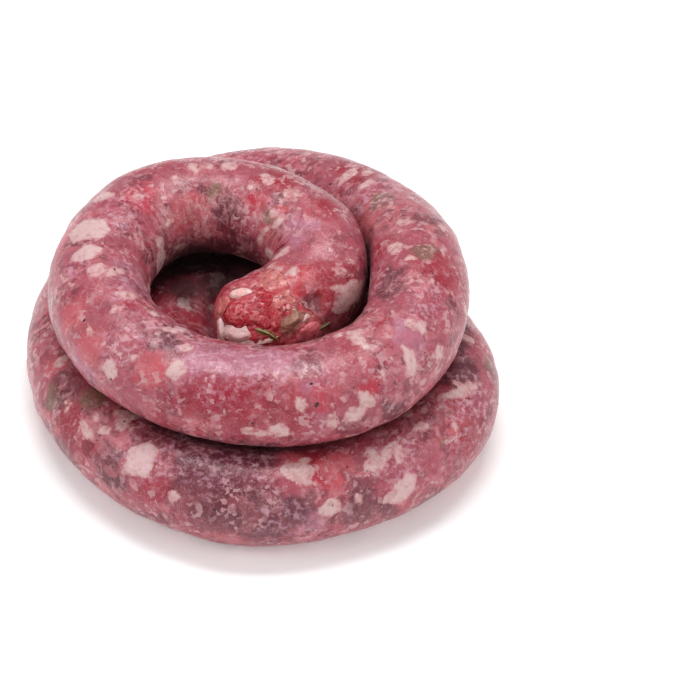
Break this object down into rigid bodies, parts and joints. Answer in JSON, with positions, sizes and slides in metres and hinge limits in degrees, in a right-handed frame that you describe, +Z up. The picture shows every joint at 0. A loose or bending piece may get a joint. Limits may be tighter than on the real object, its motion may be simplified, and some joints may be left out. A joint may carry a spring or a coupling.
{
  "type": "coil of fresh sausage",
  "caption": "Long rope of fresh raw pork sausage coiled on itself, with a cut end in its middle; coarse meat and fat show through the moist natural casing.",
  "frame": {"origin": "on the table, under the middle of the coil's bounding box", "axes": "+Z up; the front, where the upper turn shows over the lower one, faces -Y; +X is to the right seen from the front"},
  "size_m": [0.1573, 0.1739, 0.063],
  "materials": {
    "raw_sausage": "moist natural casing with a satin gloss over coarse raw pork, fat and spice"
  },
  "bodies": {
    "root": {"sausage": "raw_sausage"}
  },
  "joints": []
}
